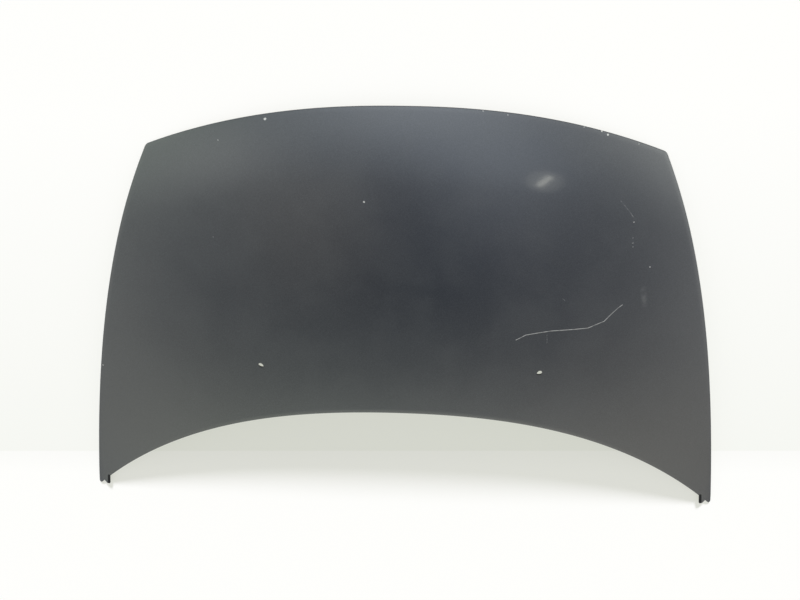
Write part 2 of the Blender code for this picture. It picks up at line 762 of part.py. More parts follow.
def build_latch():
    seat = Seat(*LATCH_PAD, lambda x, y: pad_plane(LATCH_PAD, LATCH_PAD_DEPTH, x, y))
    bolts = [(-LATCH_BOLT_X, 0.0), (LATCH_BOLT_X, 0.0)]
    half = (LATCH_PAD_HALF[0] - PLATE_MARGIN, LATCH_PAD_HALF[1] - PLATE_MARGIN)
    plate("striker_reinforcement", seat, half, PLATE_CORNER, (FIT, FIT + PLATE), bolts)
    under = -FRAME - FIT - STRIKER_PLATE
    plate("striker_plate", seat, (LATCH_BOLT_X + STRIKER_PLATE_END, STRIKER_PLATE_Y), STRIKER_CORNER,
          (under, under + STRIKER_PLATE), bolts)
    for centre, word in zip(bolts, ("left", "right")):
        nut(f"striker_nut_{word}", seat, centre, 2 * FIT + PLATE)
        bolt(f"striker_bolt_{word}", seat, centre, under - FIT)
    low = under - FIT - STRIKER_HEIGHT + STRIKER_ROD
    half = [(STRIKER_HALF, under - FIT)]
    for a in spread(0, math.pi / 2, 5):
        half.append((STRIKER_HALF - STRIKER_BEND * (1 - math.cos(a)),
                     low + STRIKER_BEND * (1 - math.sin(a))))
    path = half + [(-u, n) for u, n in reversed(half)]
    rod("striker_loop", [seat.point(u, 0.0, n) for u, n in path], STRIKER_ROD, ZINC)


def build_buffers():
    heights = {"front": FRONT_BUFFER_HEIGHT, "side": SIDE_BUFFER_HEIGHT}
    down = -FRAME - FIT
    for place, (x, y) in buffer_places().items():
        low = down - heights[place]
        steps = [(BUFFER_HEAD - BUFFER_ROUND, low), (BUFFER_HEAD, low + BUFFER_ROUND),
                 (BUFFER_HEAD, down - BUFFER_FLANGE_HEIGHT), (BUFFER_FLANGE, down)]
        steps += stem(BUFFER_STEM, down, BUFFER_STEM_REACH)
        for side, word in ((1, "right"), (-1, "left")):
            solid(f"{place}_buffer_{word}", stack(floor_seat(side * x, y).lathe(steps)), RUBBER)


def build_plugs():
    down = -FRAME - FIT
    steps = [(PLUG_HEAD - 2 * PLUG_ROUND, down - PLUG_HEIGHT),
             (PLUG_HEAD, down - PLUG_HEIGHT + PLUG_ROUND), (PLUG_HEAD, down)]
    steps += stem(PLUG_STEM, down, PLUG_STEM_REACH)
    for place, (x, y) in plug_places().items():
        for side, word in ((1, "right"), (-1, "left")):
            solid(f"plug_{place}_{word}", stack(floor_seat(side * x, y).lathe(steps)), RUBBER)


def build_socket():
    """Grommet that takes the prop rod's end."""
    seat = floor_seat(-outer_rib(SOCKET_Y), SOCKET_Y)
    down = -FRAME - FIT
    low = down - SOCKET_LIP
    outer = [(SOCKET_FLANGE - SOCKET_ROUND, low), (SOCKET_FLANGE, low + SOCKET_ROUND),
             (SOCKET_FLANGE, down), (SOCKET_OUTER, down), (SOCKET_OUTER, SOCKET_REACH)]
    bore = [(SOCKET_BORE + SOCKET_ROUND / 3, low), (SOCKET_BORE, low + SOCKET_ROUND),
            (SOCKET_BORE, down), (SOCKET_BORE, 0.0), (SOCKET_BORE, SOCKET_REACH)]
    solid("prop_rod_socket", tube_faces(seat.lathe(outer), seat.lathe(bore)), PLASTIC)


def joined(body, other):
    """The first solid with the second one fused to it."""
    cut = body.modifiers.new("join", "BOOLEAN")
    cut.operation = "UNION"
    cut.solver = "EXACT"
    cut.object = other
    done = bpy.data.meshes.new_from_object(body.evaluated_get(bpy.context.evaluated_depsgraph_get()))
    body.modifiers.clear()
    body.data = done
    bpy.data.objects.remove(other, do_unlink=True)


def build_clips():
    """Open clips that held the washer hose, one on each inner rib."""
    down = -FRAME - FIT
    for side, word in ((1, "right"), (-1, "left")):
        seat = floor_seat(side * inner_rib(HOSE_CLIP_Y), HOSE_CLIP_Y)
        rings = [[seat.point(u * side, v, down + n) for u, n in CLIP_SECTION]
                 for v in (-CLIP_HALF, CLIP_HALF)]
        clip = solid(f"hose_clip_{word}", stack(rings), PLASTIC)
        pin = stem(CLIP_STEM, down - FIT, CLIP_STEM_REACH)
        joined(clip, solid("pin", stack(seat.lathe(pin)), PLASTIC))


def build_seal():
    """Bulb seal under the rear channel, in front of the windscreen."""
    step = 0.001
    end = HALF_WIDTH - SEAL_END_IN
    rings = []
    for x in spread(-end, end, SEAL_STATIONS):
        slope = (rear_y(x + step) - rear_y(x - step)) / (2 * step)
        across = np.array([-slope, 1.0]) / math.hypot(slope, 1.0)
        ring = []
        for reach, drop in SEAL_SECTION:
            px, py = np.array([x, rear_y(x)]) + across * (SEAL_IN + reach)
            ring.append((float(px), float(py), float(floor_top(px, py) - FRAME - 2 * FIT + drop)))
        rings.append(ring)
    solid("rear_seal", stack(rings), RUBBER)


def build_mastic():
    """Pads of mastic between the frame's bond flanges and the skin, each near a point in plan."""
    places = {"centre_rear_left": (0, (-0.14, -0.09)), "centre_rear_right": (0, (0.14, -0.09)),
              "centre_front": (0, (0.0, 0.245)), "centre_left": (0, (-0.165, 0.06)),
              "centre_right": (0, (0.165, 0.06)), "middle_rear_right": (1, (0.40, -0.16)),
              "middle_front_right": (1, (0.26, 0.31)), "middle_rear_left": (2, (-0.40, -0.16)),
              "middle_front_left": (2, (-0.26, 0.31)), "outer_right": (3, (0.54, 0.02)),
              "outer_left": (4, (-0.54, 0.02))}
    loops = openings()
    shape = rounded(corners((MASTIC_HALF, MASTIC_WIDTH / 2)), MASTIC_CORNER)
    for name, (index, near) in places.items():
        line = np.array(inset(loops[index], (BOND_WALL + BOND_FLAT) / 2, 0.004))
        i = int(np.argmin(((line - near) ** 2).sum(1)))
        along = line[(i + 1) % len(line)] - line[i - 1]
        along /= np.linalg.norm(along)
        across = np.array([-along[1], along[0]])
        ring = [line[i] + along * u + across * v for u, v in shape]
        rings = [[(float(x), float(y), float(skin_z(x, y) - SKIN - drop)) for x, y in ring]
                 for drop in (FIT, MASTIC_DEPTH - FIT)]
        solid(f"mastic_{name}", stack(rings), MASTIC)


def settle():
    """Puts the origin below the bonnet's middle, level with its lowest corners."""
    points = [v.co for v in bpy.data.objects["outer_skin"].data.vertices]
    low = [min(p[k] for p in points) for k in range(3)]
    high = [max(p[k] for p in points) for k in range(3)]
    move = (-(low[0] + high[0]) / 2, -(low[1] + high[1]) / 2, -low[2])
    for made in bpy.data.objects:
        for vertex in made.data.vertices:
            for k in range(3):
                vertex.co[k] += move[k]


for old in list(bpy.data.objects):
    bpy.data.objects.remove(old, do_unlink=True)
build_skin()
build_frame()
build_hinge_side(1, "right")
build_hinge_side(-1, "left")
build_latch()
build_buffers()
build_plugs()
build_socket()
build_clips()
build_seal()
build_mastic()
settle()
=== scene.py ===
"""Looks of the car bonnet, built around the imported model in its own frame."""
import json
import math

import bmesh
import bpy
import numpy as np
from mathutils import Matrix, Vector
from mathutils.geometry import delaunay_2d_cdt
from mathutils.kdtree import KDTree


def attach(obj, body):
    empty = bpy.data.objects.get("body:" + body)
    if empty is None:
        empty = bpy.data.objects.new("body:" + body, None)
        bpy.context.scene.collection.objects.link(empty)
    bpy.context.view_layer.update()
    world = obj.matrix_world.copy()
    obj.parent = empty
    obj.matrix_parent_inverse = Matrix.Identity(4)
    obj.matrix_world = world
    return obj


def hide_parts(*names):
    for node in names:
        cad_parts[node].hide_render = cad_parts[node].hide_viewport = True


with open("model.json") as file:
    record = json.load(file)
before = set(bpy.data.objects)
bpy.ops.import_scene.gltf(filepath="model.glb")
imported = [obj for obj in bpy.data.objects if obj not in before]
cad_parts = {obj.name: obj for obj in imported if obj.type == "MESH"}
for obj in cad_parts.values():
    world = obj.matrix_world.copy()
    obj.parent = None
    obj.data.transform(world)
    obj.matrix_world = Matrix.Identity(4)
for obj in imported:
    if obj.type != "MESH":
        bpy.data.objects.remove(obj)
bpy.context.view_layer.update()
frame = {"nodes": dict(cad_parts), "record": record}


# Sizes of the CAD model, in its design frame
SETTLE = Vector((0.0, 0.0123628, 0.0008620))
HALF_WIDTH = 0.700
FRONT_Y = 0.425
REAR_Y = -0.1788
FRONT_SWEEP = 0.1776
FRONT_POWER = 2.27
REAR_SWEEP = 0.1276
REAR_CORNER_SWEEP = 0.1453
SIDE_TAPER = 0.165
SIDE_SHOULDER = 0.0812
SIDE_POWER = 3.75
FRONT_CORNER_RADIUS = 0.014
STEP_IN = 0.0290
SIDE_START = 0.0010
HOOK = [(0.0248, 0.0220), (0.0226, 0.0248), (0.0160, 0.0248)]
NOTCH = (0.0105, 0.0172)
TIP = [(0.0036, 0.0240), (0.0005, 0.0257), (-0.0022, 0.0244), (-0.0034, 0.0203)]
TOP_Z = 0.1034
CROWN = 0.085
CROWN_POWER = 2.2
BOW = 0.035
BOW_Y = -0.163
BOW_LENGTH = 0.425
NOSE_DROP = 0.010
NOSE_BAND = 0.140
SKIN = 0.0008
FRAME = 0.0009
GAP = 0.00045
HEM = 0.0034
HEM_RETURN = 0.010
CORNER_RETURN = 0.007
TONGUE_RETURN = 0.0026
RIM_EDGE = 0.0024
RIM_FLAT = 0.012
RIM_WALL = 0.026
FLOOR_DEPTH = 0.018
SHALLOW_FROM = 0.006
SHALLOW_SPAN = 0.030
LEAST_SHARE = 0.2
REAR_CUT_IN = 0.050
SIDE_CUT = (0.016, 0.016)
SIDE_CUT_END = 0.029
BOND_WALL = 0.010
BOND_FLAT = 0.020
MASTIC_DEPTH = 0.0042
RIB_HALF = 0.0200
INNER_RIB_LEAN = 0.467
OUTER_RIB_LEAN = 0.274
OUTER_RIB_IN = 0.1416
REAR_CHANNEL = 0.077
FRONT_BAND = 0.077
LATCH_BAND = 0.161
LATCH_BAND_END = 0.190
SIDE_BAND = 0.060
HINGE_LAND = 0.024
OPENING_RADIUS = 0.030
JET = (0.280, -0.0836)
JET_LONG = 0.0056
JET_SHORT = 0.0042
JET_ANGLE = math.radians(42)
JET_SHIFT = (0.0020, -0.0025)
JET_CLEARANCE = 0.0100
BOLT_HOLE = 0.0045
SLACK = 0.0007
HINGE_WALL = 0.0014
HINGE_AHEAD = 0.1054
HINGE_BOLT_Y = 0.024
HINGE_PAD_X = 0.022
HINGE_PAD_END = 0.016
HINGE_PAD_DEPTH = 0.0170
LATCH_BACK = 0.090
LATCH_BOLT_X = 0.042
LATCH_PAD_Y = 0.026
LATCH_PAD_END = 0.020
LATCH_PAD_DEPTH = 0.0130
PAD_BLEND = 0.014
FRONT_BUFFER_X = 0.330
FRONT_BUFFER_BACK = 0.0478
SIDE_BUFFER_IN = 0.0430
SIDE_BUFFER_Y = -0.1200
BUFFER_STEM = 0.0040
FRONT_PLUG_X = 0.205
FRONT_PLUG_BACK = 0.0441
REAR_PLUG_IN = 0.152
REAR_PLUG_AHEAD = 0.0647
PLUG_STEM = 0.0070
SOCKET_Y = 0.200
SOCKET_OUTER = 0.0075
HOSE_CLIP_Y = 0.0200
CLIP_STEM = 0.0030

# Where the side's and the front's stations stop before a front corner, in x and y
CORNER_TRIM = (0.010, 0.012)
FRAME_CORNER_TRIM = (0.016, 0.018)

# Corners that turn less than this, in radians, aren't rounded
REAL_CORNER = 0.3
# Most of a loop's shorter side that a rounding may take
SIDE_SHARE = 0.49

# How finely the visible sheets are divided
SKIN_STEP = 0.0120
FRAME_STEP = 0.0140
EDGE_CLEAR = 0.0050
SAMPLE = 0.0030
REAR_STATIONS = 190
SIDE_STATIONS = 96
FRONT_STATIONS = 120
CORNER_STATIONS = 10
ROUNDING_STATIONS = 20
HEM_STATIONS = 8
RIM_STATIONS = 5
WALL_STATIONS = 4
CHANNEL_STATIONS = 4
OUTER_SIDE_STATIONS = 2
STATION = 0.010
TURN = 0.10
HOLE_SIDES = 32
JET_RING = 0.004
SKIN_RING = 0.0095
GRID_HALF = (0.72, 0.46)
GRID_ROW = 0.87
SHARP_ANGLE = 40

# Limits of the arithmetic
MEET_ROUNDS = 60
SLOPE_STEP = 0.001
CHUNK = 800
INSET_SLACK = 0.00001
SAME_POINT = 1e-7
PLACE_DIGITS = 7
SLIVER = 1e-9


# Shape of the bonnet, as the CAD model has it

def front_y(x):
    share = abs(x) / HALF_WIDTH
    return FRONT_Y - FRONT_SWEEP * share ** FRONT_POWER


def rear_y(x):
    share = abs(x) / HALF_WIDTH
    return REAR_Y - REAR_SWEEP * share ** 2 - REAR_CORNER_SWEEP * share ** 3


STEP_Y = rear_y(HALF_WIDTH - STEP_IN)
SIDE_START_Y = STEP_Y - SIDE_START


def side_x(y):
    share = max(0.0, (y - SIDE_START_Y) / (FRONT_Y - SIDE_START_Y))
    return HALF_WIDTH - SIDE_TAPER * share - SIDE_SHOULDER * share ** SIDE_POWER


def skin_z(x, y):
    """Height of the painted surface. x and y are numbers or arrays."""
    nose = np.maximum(0.0, 1 - (front_y(x) - y) / NOSE_BAND)
    across = CROWN * (abs(x) / HALF_WIDTH) ** CROWN_POWER
    along = BOW * ((y - BOW_Y) / BOW_LENGTH) ** 2
    return TOP_Z - across - along - NOSE_DROP * nose ** 2


def meet(across, along):
    """Point where x = across(y) meets y = along(x)."""
    x, y = 0.0, 0.0
    for _ in range(MEET_ROUNDS):
        x = across(y)
        y = along(x)
    return x, y


def inner_rib(y):
    return JET[0] - INNER_RIB_LEAN * (y - JET[1])


def outer_rib(y):
    return HALF_WIDTH - OUTER_RIB_IN - OUTER_RIB_LEAN * (y - STEP_Y)


LATCH_PAD = (0.0, FRONT_Y - LATCH_BACK)
LATCH_PAD_HALF = (LATCH_BOLT_X + LATCH_PAD_END, LATCH_PAD_Y)
HINGE_PAD_HALF = (HINGE_PAD_X, HINGE_BOLT_Y + HINGE_PAD_END)
HINGE_PLACE = meet(lambda y: side_x(y + HINGE_PAD_HALF[1]) - RIM_WALL - HINGE_WALL - HINGE_PAD_X,
                   lambda x: rear_y(x) + HINGE_AHEAD)


# Loops in plan

def spread(start, end, count):
    return [start + (end - start) * i / count for i in range(count + 1)]


def mirrored(points):
    return [(-x, y) for x, y in reversed(points)]


def fillet(before, corner, after, radius, count):
    """Arc that rounds one corner of a loop."""
    a, b, c = np.array(before), np.array(corner), np.array(after)
    u = (a - b) / np.linalg.norm(a - b)
    v = (c - b) / np.linalg.norm(c - b)
    half = math.acos(float(np.clip(u @ v, -1, 1))) / 2
    centre = b + (u + v) / np.linalg.norm(u + v) * radius / math.sin(half)
    start = b + u * radius / math.tan(half) - centre
    end = b + v * radius / math.tan(half) - centre
    angle = math.acos(float(np.clip(start @ end / radius ** 2, -1, 1)))
    arc = []
    for t in spread(0, angle, count):
        at = centre + (start * math.sin(angle - t) + end * math.sin(t)) / math.sin(angle)
        arc.append((float(at[0]), float(at[1])))
    return arc


def rounded(points, radius):
    """The loop with each real corner rounded, and slight bends left as they are."""
    loop = []
    for before, corner, after in zip(points[-1:] + points, points, points[1:] + points[:1]):
        a, b, c = np.array(before), np.array(corner), np.array(after)
        turn = math.acos(float(np.clip((b - a) @ (c - b) / np.linalg.norm(b - a)
                                       / np.linalg.norm(c - b), -1, 1)))
        if turn > REAL_CORNER:
            shorter = min(np.linalg.norm(b - a), np.linalg.norm(c - b))
            most = SIDE_SHARE * shorter / math.tan(turn / 2)
            loop += fillet(before, corner, after, min(radius, most), ROUNDING_STATIONS)
        else:
            loop.append(corner)
    return loop


def front_line(corner):
    return [(x, front_y(x)) for x in spread(corner[0], -corner[0], FRONT_STATIONS)[1:-1]]


def outline():
    """Outer edge, anticlockwise from the left rear step, with each station's hem return."""
    corner = meet(side_x, front_y)
    step = HALF_WIDTH - STEP_IN
    rear = [(x, rear_y(x)) for x in spread(-step, step, REAR_STATIONS)[1:-1]]
    side = [(side_x(y), y)
            for y in spread(SIDE_START_Y, corner[1] - CORNER_TRIM[1], SIDE_STATIONS)]
    front = [p for p in front_line(corner) if abs(p[0]) < corner[0] - CORNER_TRIM[0]]
    arc = fillet(side[-1], corner, front[0], FRONT_CORNER_RADIUS, CORNER_STATIONS)
    tongue = [(STEP_IN, 0.0)] + HOOK + [NOTCH] + TIP
    right = ([((HALF_WIDTH - x, STEP_Y - y), TONGUE_RETURN) for x, y in tongue]
             + [(side[0], CORNER_RETURN)] + [(p, HEM_RETURN) for p in side[1:]]
             + [(p, CORNER_RETURN) for p in arc])
    left = [((-p[0], p[1]), back) for p, back in reversed(right)]
    stations = ([(p, HEM_RETURN) for p in rear] + right
                + [(p, HEM_RETURN) for p in front] + left)
    return [p for p, _ in stations], [back for _, back in stations]


def frame_outline():
    """Edge line that the frame follows, which passes the tongues by."""
    corner = meet(side_x, front_y)
    last = HALF_WIDTH - REAR_CUT_IN
    right = [(last, rear_y(last)), (HALF_WIDTH - SIDE_CUT[0], STEP_Y + SIDE_CUT[1])]
    side_end = corner[1] - FRAME_CORNER_TRIM[1]
    right += [(side_x(y), y) for y in spread(STEP_Y + SIDE_CUT_END, side_end, SIDE_STATIONS)]
    front = [p for p in front_line(corner) if abs(p[0]) < corner[0] - FRAME_CORNER_TRIM[0]]
    right += fillet(right[-1], corner, front[0], FRONT_CORNER_RADIUS, CORNER_STATIONS)
    rear = [(x, rear_y(x)) for x in spread(-last, last, REAR_STATIONS)[1:-1]]
    return rear + right + front + mirrored(right)


def openings():
    """Openings in the frame, at the level of its floor: centre, then each pair right and left."""
    def beside(rib, reach):
        return lambda y: rib(y) + reach

    def behind(band):
        return lambda x: front_y(x) - band

    def channel(x):
        return rear_y(x) + REAR_CHANNEL

    rear = meet(beside(inner_rib, -RIB_HALF), channel)[0]
    front = meet(beside(inner_rib, -RIB_HALF), behind(LATCH_BAND))
    centre = [(x, channel(x)) for x in spread(-rear, rear, CHANNEL_STATIONS)]
    centre += [front, (-front[0], front[1])]
    middle = [meet(beside(inner_rib, RIB_HALF), channel),
              meet(beside(outer_rib, -RIB_HALF), channel),
              meet(beside(outer_rib, -RIB_HALF), behind(FRONT_BAND)),
              (LATCH_BAND_END, behind(FRONT_BAND)(LATCH_BAND_END)),
              meet(beside(inner_rib, RIB_HALF), behind(LATCH_BAND))]
    start = HINGE_PLACE[1] + HINGE_PAD_HALF[1] + PAD_BLEND + HINGE_LAND
    end = meet(beside(side_x, -SIDE_BAND), behind(FRONT_BAND))[1]
    outer = [(outer_rib(start) + RIB_HALF, start)]
    outer += [(side_x(y) - SIDE_BAND, y) for y in spread(start, end, OUTER_SIDE_STATIONS)]
    outer.append(meet(beside(outer_rib, RIB_HALF), behind(FRONT_BAND)))
    loops = [rounded(centre, OPENING_RADIUS)]
    for shape in (middle, outer):
        right = rounded(shape, OPENING_RADIUS)
        loops += [right, mirrored(right)]
    return loops


def inward(loop):
    """At each station, the move that shifts both its edges inwards by one metre."""
    p = np.array(loop)
    edge = np.roll(p, -1, 0) - p
    normal = np.stack([-edge[:, 1], edge[:, 0]], 1) / np.linalg.norm(edge, axis=1)[:, None]
    before = np.roll(normal, 1, 0)
    return (normal + before) / (1 + (normal * before).sum(1))[:, None]


def distance(points, loop):
    """Distance in plan from each point to a closed loop."""
    a = np.array(loop)
    d = np.roll(a, -1, 0) - a
    length = (d * d).sum(1)
    found = []
    for part in np.array_split(np.array(points), max(1, len(points) // CHUNK)):
        away = part[:, None, :] - a
        t = np.clip((away * d).sum(2) / length, 0, 1)[..., None]
        found.append(np.sqrt(((away - t * d) ** 2).sum(2)).min(1))
    return np.concatenate(found)


def inside(points, loop):
    a = np.array(loop)
    b = np.roll(a, -1, 0)
    rise = np.where(b[:, 1] == a[:, 1], 1.0, b[:, 1] - a[:, 1])
    found = []
    for part in np.array_split(np.array(points), max(1, len(points) // CHUNK)):
        p = part[:, None, :]
        crossed = (a[:, 1] > p[..., 1]) != (b[:, 1] > p[..., 1])
        at = (b[:, 0] - a[:, 0]) * (p[..., 1] - a[:, 1]) / rise + a[:, 0]
        found.append((crossed & (p[..., 0] < at)).sum(1) % 2 == 1)
    return np.concatenate(found)


def dense(loop, step):
    points = []
    for a, b in zip(loop, loop[1:] + loop[:1]):
        count = max(1, round(math.dist(a, b) / step))
        points += [(a[0] + (b[0] - a[0]) * i / count, a[1] + (b[1] - a[1]) * i / count)
                   for i in range(count)]
    return points


def thin(loop, longest, turn):
    """Fewer stations: one per longest stretch or per turn."""
    kept, bend = [loop[0]], 0.0
    for a, b, c in zip(loop, loop[1:], loop[2:]):
        heading = math.atan2(c[1] - b[1], c[0] - b[0]) - math.atan2(b[1] - a[1], b[0] - a[0])
        bend += abs((heading + math.pi) % (2 * math.pi) - math.pi)
        if math.dist(kept[-1], b) > longest or bend > turn:
            kept.append(b)
            bend = 0.0
    return kept


def inset(loop, depth):
    """The loop moved inwards, without the stretches that would cross."""
    fine = dense(loop, SAMPLE)
    moved = np.array(fine) + inward(fine) * depth
    kept = moved[distance(moved, loop) > depth - INSET_SLACK]
    return thin([(float(x), float(y)) for x, y in kept], STATION, TURN)


def oval(centre, long_radius, short_radius, angle, count):
    loop = []
    for i in range(count):
        t = 2 * math.pi * i / count
        u, v = long_radius * math.cos(t), short_radius * math.sin(t)
        loop.append((centre[0] + u * math.cos(angle) - v * math.sin(angle),
                     centre[1] + u * math.sin(angle) + v * math.cos(angle)))
    return loop


def fill(outer, holes, lines, step):
    """Triangles inside outer and outside holes, with lines kept as edges, and their points."""
    points, edges = [], []
    for loop in [outer] + holes + lines:
        start = len(points)
        points += loop
        edges += [(start + i, start + (i + 1) % len(loop)) for i in range(len(loop))]
    samples = [p for loop in [outer] + holes + lines for p in dense(loop, SAMPLE)]
    tree = KDTree(len(samples))
    for i, p in enumerate(samples):
        tree.insert((p[0], p[1], 0.0), i)
    tree.balance()
    across, along = int(GRID_HALF[0] / step), int(GRID_HALF[1] / step / GRID_ROW)
    grid = [(step * (i + 0.5 * (j % 2)), step * GRID_ROW * j)
            for i in range(-across, across) for j in range(-along, along + 1)]
    grid = [p for p in grid if tree.find((p[0], p[1], 0.0))[2] > min(EDGE_CLEAR, step / 2)]
    points += [p for p, free in zip(grid, inside(grid, outer)) if free]
    _, _, faces, sources, _, _ = delaunay_2d_cdt([Vector(p) for p in points], edges, [], 0,
                                                 SAME_POINT)
    flat = np.array(points)
    tris = np.array([[sources[i][0] for i in face] for face in faces])
    a, b, c = flat[tris[:, 0]], flat[tris[:, 1]], flat[tris[:, 2]]
    area = abs((b[:, 0] - a[:, 0]) * (c[:, 1] - a[:, 1])
               - (c[:, 0] - a[:, 0]) * (b[:, 1] - a[:, 1])) / 2
    middles = (a + b + c) / 3
    keep = inside(middles, outer) & (area > SLIVER)
    for hole in holes:
        keep &= ~inside(middles, hole)
    return tris[keep], flat


def smooth_share(t):
    """From 0 to 1, level at both ends."""
    t = np.clip(t, 0.0, 1.0)
    return t * t * (3 - 2 * t)


def pad_plane(pad, depth, x, y):
    """Height of a flat pad that lies parallel to the skin above its centre."""
    cx, cy = pad
    step = SLOPE_STEP
    slope_x = (skin_z(cx + step, cy) - skin_z(cx - step, cy)) / (2 * step)
    slope_y = (skin_z(cx, cy + step) - skin_z(cx, cy - step)) / (2 * step)
    return skin_z(cx, cy) - SKIN - depth + slope_x * (x - cx) + slope_y * (y - cy)


def floor_top(x, y):
    """Upper surface of the frame's floor. x and y are arrays."""
    skin = skin_z(x, y)
    share = np.clip((skin - SHALLOW_FROM) / SHALLOW_SPAN, LEAST_SHARE, 1.0)
    height = skin - SKIN - FLOOR_DEPTH * share
    pads = [((side * HINGE_PLACE[0], HINGE_PLACE[1]), HINGE_PAD_HALF, HINGE_PAD_DEPTH)
            for side in (1, -1)]
    for pad, half, depth in pads + [(LATCH_PAD, LATCH_PAD_HALF, LATCH_PAD_DEPTH)]:
        out = np.maximum(np.maximum(abs(x - pad[0]) - half[0], abs(y - pad[1]) - half[1]), 0.0)
        flat = pad_plane(pad, depth, x, y)
        height = height + smooth_share(1 - out / PAD_BLEND) * (flat - height)
    return height


# Meshes

def piece(name, verts, faces, materials, slots=None):
    """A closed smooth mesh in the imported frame, riding on the part."""
    mesh = bmesh.new()
    corners = [mesh.verts.new(Vector(v) + SETTLE) for v in verts]
    for k, face in enumerate(faces):
        used = list(dict.fromkeys(face))
        if len(used) > 2:
            new = mesh.faces.new([corners[i] for i in used])
            new.material_index = slots[k] if slots else 0
    bmesh.ops.delete(mesh, geom=[v for v in mesh.verts if not v.link_faces], context="VERTS")
    bmesh.ops.recalc_face_normals(mesh, faces=mesh.faces)
    data = bpy.data.meshes.new(name)
    mesh.to_mesh(data)
    mesh.free()
    for each in materials:
        data.materials.append(each)
    data.shade_smooth()
    data.set_sharp_from_angle(angle=math.radians(SHARP_ANGLE))
    made = bpy.data.objects.new(name, data)
    bpy.context.scene.collection.objects.link(made)
    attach(made, "root")
    return made


class Shell:
    """Vertices and faces of a sheet under construction, each vertex known by its place."""

    def __init__(self):
        self.verts, self.faces, self.slots, self.known = [], [], [], {}

    def vert(self, x, y, z):
        key = tuple(round(v, PLACE_DIGITS) for v in (x, y, z))
        if key not in self.known:
            self.known[key] = len(self.verts)
            self.verts.append((float(x), float(y), float(z)))
        return self.known[key]

    def face(self, corners, slot=0):
        self.faces.append([self.vert(*p) for p in corners])
        self.slots.append(slot)

    def strip(self, a, b, slot=0):
        n = len(a)
        for i in range(n):
            self.face((a[i], a[(i + 1) % n], b[(i + 1) % n], b[i]), slot)


def hem_profile(back):
    """Inward distance and drop along the hem, from the painted face round to the inner one."""
    r = HEM / 2
    inner = r - SKIN
    turn = spread(0, math.pi, HEM_STATIONS)
    bend = [(r - r * math.sin(a), r * math.cos(a) - r) for a in turn]
    under = [(back, -HEM), (back, SKIN - HEM)]
    return bend + under + [(r - inner * math.sin(a), -r - inner * math.cos(a)) for a in turn]


def build_skin(paint, inner_paint):
    """Outer skin: hem round the edge, both faces of the sheet, and the jets' walls."""
    edge, returns = outline()
    moves = inward(edge)
    profiles = [hem_profile(back) for back in returns]
    rings = []
    for k in range(len(profiles[0])):
        depth = np.array([profile[k][0] for profile in profiles])
        drop = np.array([profile[k][1] for profile in profiles])
        at = np.array(edge) + moves * depth[:, None]
        z = skin_z(at[:, 0], at[:, 1]) + drop
        rings.append([(x, y, h) for (x, y), h in zip(at.tolist(), z.tolist())])
    shell = Shell()
    for a, b in zip(rings, rings[1:]):
        shell.strip(a, b)
    start = [(p[0], p[1]) for p in rings[0]]
    jets = [oval((side * JET[0], JET[1]), JET_LONG, JET_SHORT, side * JET_ANGLE, HOLE_SIDES)
            for side in (1, -1)]
    around = [oval((side * JET[0], JET[1]), JET_LONG + JET_RING, JET_SHORT + JET_RING,
                   side * JET_ANGLE, HOLE_SIDES) for side in (1, -1)]
    tris, flat = fill(start, jets, [inset(frame_outline(), SKIN_RING)] + around, SKIN_STEP)
    z = skin_z(flat[:, 0], flat[:, 1])
    for tri in tris:
        corners = [(flat[i][0], flat[i][1], z[i]) for i in tri]
        shell.face(corners)
        shell.face([(x, y, h - SKIN) for x, y, h in corners], 1)
    for loop in jets:
        top = [(x, y, float(skin_z(x, y))) for x, y in loop]
        shell.strip(top, [(x, y, h - SKIN) for x, y, h in top], 1)
    made = piece("skin", shell.verts, shell.faces, [paint, inner_paint], shell.slots)
    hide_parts("outer_skin")


def floor_holes():
    """Round holes through the frame's floor: centre and radius."""
    plug = HALF_WIDTH - REAR_PLUG_IN
    right = [(LATCH_BOLT_X, LATCH_PAD[1], BOLT_HOLE),
             (HINGE_PLACE[0], HINGE_PLACE[1] + HINGE_BOLT_Y, BOLT_HOLE),
             (HINGE_PLACE[0], HINGE_PLACE[1] - HINGE_BOLT_Y, BOLT_HOLE),
             (JET[0] + JET_SHIFT[0], JET[1] + JET_SHIFT[1], JET_CLEARANCE),
             (inner_rib(HOSE_CLIP_Y), HOSE_CLIP_Y, CLIP_STEM + SLACK),
             (FRONT_BUFFER_X, front_y(FRONT_BUFFER_X) - FRONT_BUFFER_BACK, BUFFER_STEM + SLACK),
             (side_x(SIDE_BUFFER_Y) - SIDE_BUFFER_IN, SIDE_BUFFER_Y, BUFFER_STEM + SLACK),
             (FRONT_PLUG_X, front_y(FRONT_PLUG_X) - FRONT_PLUG_BACK, PLUG_STEM + SLACK),
             (plug, rear_y(plug) + REAR_PLUG_AHEAD, PLUG_STEM + SLACK)]
    both = [(side * x, y, r) for x, y, r in right for side in (1, -1)]
    return both + [(-outer_rib(SOCKET_Y), SOCKET_Y, SOCKET_OUTER + SLACK)]


def frame_top(flat, edge, feet):
    """Height of the frame's upper face at points in plan, with its pressed walls rounded."""
    x, y = flat[:, 0], flat[:, 1]
    skin = skin_z(x, y) - SKIN
    height = floor_top(x, y)
    rim = smooth_share((distance(flat, edge) - RIM_FLAT) / (RIM_WALL - RIM_FLAT))
    height = skin - GAP + rim * (height - skin + GAP)
    for foot in feet:
        within = np.where(inside(flat, foot), distance(flat, foot), 0.0)
        bond = smooth_share(within / BOND_WALL)
        height = height + bond * (skin - MASTIC_DEPTH - height)
    return height


